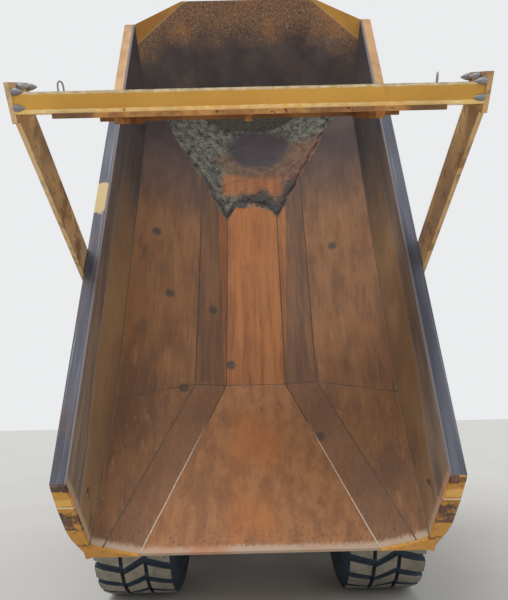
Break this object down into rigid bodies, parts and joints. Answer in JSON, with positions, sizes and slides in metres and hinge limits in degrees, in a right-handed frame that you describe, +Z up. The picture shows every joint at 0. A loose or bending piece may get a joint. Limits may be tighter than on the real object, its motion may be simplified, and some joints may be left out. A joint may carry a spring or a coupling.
{
  "type": "articulated dump truck",
  "caption": "Six-wheel articulated hauler with a raised folded-plate dump body, a swung tailgate on long arms, a centre cab and a roll-and-steer hitch",
  "frame": {"origin": "on the ground under the middle of the whole truck, body raised as in the picture", "axes": "+Y forward along the truck, +X to its right, +Z up"},
  "size_m": [3.012, 11.514, 6.6272],
  "materials": {
    "painted_yellow": "worn satin paint",
    "rust": "rusty worn plate",
    "steel": "worn dark steel",
    "black": "matt black paint",
    "tyre": "dusty rubber",
    "chrome": "polished rod",
    "glass": "tinted glass",
    "lamp": "lamp lens",
    "red": "lamp lens",
    "cloth": "dark trim"
  },
  "bodies": {
    "rear": {"rear_frame": "painted_yellow", "rear_axle": "black", "mid_axle": "black", "bogie_beams": "black", "prop_shafts": "black", "tow_hitch": "painted_yellow", "rear_lamps": "red"},
    "hitch_block": {"hitch": "steel"},
    "front": {"front_frame": "painted_yellow", "bumper": "black", "engine_block": "steel", "front_axle": "black", "front_mudguards": "black", "fuel_tank": "black", "hydraulic_tank": "painted_yellow", "access_steps": "black", "handrails": "painted_yellow", "mirrors": "black", "exhaust_stack": "steel", "head_lamps": "lamp", "cab_shell": "painted_yellow", "cab_glass": "glass", "cab_fittings": "cloth"},
    "cab_door": {"door": "painted_yellow", "door_glass": "glass"},
    "engine_hood": {"hood": "painted_yellow", "grille": "black"},
    "dump_body": {"body_floor": "rust", "body_sides": "rust", "body_front_wall": "rust", "body_end_frame": "painted_yellow", "body_rails": "steel", "body_runners": "painted_yellow", "body_ribs": "painted_yellow"},
    "gate": {"tailgate_panel": "rust", "tailgate_beam": "painted_yellow", "tailgate_arms": "painted_yellow"},
    "left_hoist_barrel": {"hoist_barrel_left": "painted_yellow"},
    "right_hoist_barrel": {"hoist_barrel_right": "painted_yellow"},
    "left_hoist_rod": {"hoist_rod_left": "chrome"},
    "right_hoist_rod": {"hoist_rod_right": "chrome"},
    "left_steer_barrel": {"steer_barrel_left": "painted_yellow"},
    "right_steer_barrel": {"steer_barrel_right": "painted_yellow"},
    "left_steer_rod": {"steer_rod_left": "chrome"},
    "right_steer_rod": {"steer_rod_right": "chrome"},
    "wheel_front_left": {"tyre_front_left": "tyre", "rim_front_left": "painted_yellow"},
    "wheel_front_right": {"tyre_front_right": "tyre", "rim_front_right": "painted_yellow"},
    "wheel_mid_left": {"tyre_mid_left": "tyre", "rim_mid_left": "painted_yellow"},
    "wheel_mid_right": {"tyre_mid_right": "tyre", "rim_mid_right": "painted_yellow"},
    "wheel_rear_left": {"tyre_rear_left": "tyre", "rim_rear_left": "painted_yellow"},
    "wheel_rear_right": {"tyre_rear_right": "tyre", "rim_rear_right": "painted_yellow"}
  },
  "joints": [
    {"name": "hitch_roll", "type": "hinge", "parent": "rear", "child": "hitch_block", "pos_m": [0, 1.02904, 1.06], "axis": [0, -1, 0], "range_deg": [-15, 15]},
    {"name": "steer", "type": "hinge", "parent": "hitch_block", "child": "front", "pos_m": [0, 1.42904, 1.06], "axis": [0, 0, 1], "range_deg": [-45, 45]},
    {"name": "body_tip", "type": "hinge", "parent": "rear", "child": "dump_body", "pos_m": [0, -3.36296, 1.6], "axis": [1, 0, 0], "range_deg": [-73.7, 0]},
    {"name": "tailgate_swing", "type": "hinge", "parent": "dump_body", "child": "gate", "pos_m": [0, -3.57455, 2.65791], "axis": [1, 0, 0], "range_deg": [0, 94.4]},
    {"name": "hoist_swing_left", "type": "hinge", "parent": "rear", "child": "left_hoist_barrel", "pos_m": [-0.63, -0.26296, 1], "axis": [1, 0, 0], "range_deg": [0, 19.84]},
    {"name": "hoist_slide_left", "type": "slide", "parent": "left_hoist_barrel", "child": "left_hoist_rod", "axis": [0, -0.83, 0.5577], "range_m": [-1.25496, 0]},
    {"name": "hoist_swing_right", "type": "hinge", "parent": "rear", "child": "right_hoist_barrel", "pos_m": [0.63, -0.26296, 1], "axis": [1, 0, 0], "range_deg": [0, 19.84]},
    {"name": "hoist_slide_right", "type": "slide", "parent": "right_hoist_barrel", "child": "right_hoist_rod", "axis": [0, -0.83, 0.5577], "range_m": [-1.25496, 0]},
    {"name": "steer_swing_left", "type": "hinge", "parent": "front", "child": "left_steer_barrel", "pos_m": [-0.45, 2.67904, 0.96], "axis": [0, 0, 1], "range_deg": [-3, 3]},
    {"name": "steer_slide_left", "type": "slide", "parent": "left_steer_barrel", "child": "left_steer_rod", "axis": [0.0739, -0.9973, 0], "range_m": [-0.27, 0.27]},
    {"name": "steer_swing_right", "type": "hinge", "parent": "front", "child": "right_steer_barrel", "pos_m": [0.45, 2.67904, 0.96], "axis": [0, 0, 1], "range_deg": [-3, 3]},
    {"name": "steer_slide_right", "type": "slide", "parent": "right_steer_barrel", "child": "right_steer_rod", "axis": [-0.0739, -0.9973, 0], "range_m": [-0.27, 0.27]},
    {"name": "spin_front_left", "type": "hinge", "parent": "front", "child": "wheel_front_left", "pos_m": [-1.11, 2.98704, 0.8085], "axis": [1, 0, 0], "continuous": true},
    {"name": "spin_front_right", "type": "hinge", "parent": "front", "child": "wheel_front_right", "pos_m": [1.11, 2.98704, 0.8085], "axis": [1, 0, 0], "continuous": true},
    {"name": "spin_mid_left", "type": "hinge", "parent": "rear", "child": "wheel_mid_left", "pos_m": [-1.11, -1.19296, 0.8085], "axis": [1, 0, 0], "continuous": true},
    {"name": "spin_mid_right", "type": "hinge", "parent": "rear", "child": "wheel_mid_right", "pos_m": [1.11, -1.19296, 0.8085], "axis": [1, 0, 0], "continuous": true},
    {"name": "spin_rear_left", "type": "hinge", "parent": "rear", "child": "wheel_rear_left", "pos_m": [-1.11, -2.86296, 0.8085], "axis": [1, 0, 0], "continuous": true},
    {"name": "spin_rear_right", "type": "hinge", "parent": "rear", "child": "wheel_rear_right", "pos_m": [1.11, -2.86296, 0.8085], "axis": [1, 0, 0], "continuous": true},
    {"name": "door_swing", "type": "hinge", "parent": "front", "child": "cab_door", "pos_m": [-0.816, 2.88504, 2.2], "axis": [0, 0, 1], "range_deg": [0, 75]},
    {"name": "hood_tilt", "type": "hinge", "parent": "front", "child": "engine_hood", "pos_m": [0, 5.57704, 1.3], "axis": [-1, 0, 0], "range_deg": [0, 60]}
  ],
  "couplings": [
    {"joint": "tailgate_swing", "follows": "body_tip", "ratio": -1.2809},
    {"joint": "hoist_swing_left", "follows": "body_tip", "ratio": -0.26651},
    {"joint": "hoist_slide_left", "follows": "body_tip", "m_per_rad": 0.97408},
    {"joint": "hoist_swing_right", "follows": "body_tip", "ratio": -0.26651},
    {"joint": "hoist_slide_right", "follows": "body_tip", "m_per_rad": 0.97408},
    {"joint": "steer_swing_left", "follows": "steer", "ratio": -0.032021},
    {"joint": "steer_slide_left", "follows": "steer", "m_per_rad": -0.32502},
    {"joint": "steer_swing_right", "follows": "steer", "ratio": -0.032021},
    {"joint": "steer_slide_right", "follows": "steer", "m_per_rad": 0.32502}
  ]
}
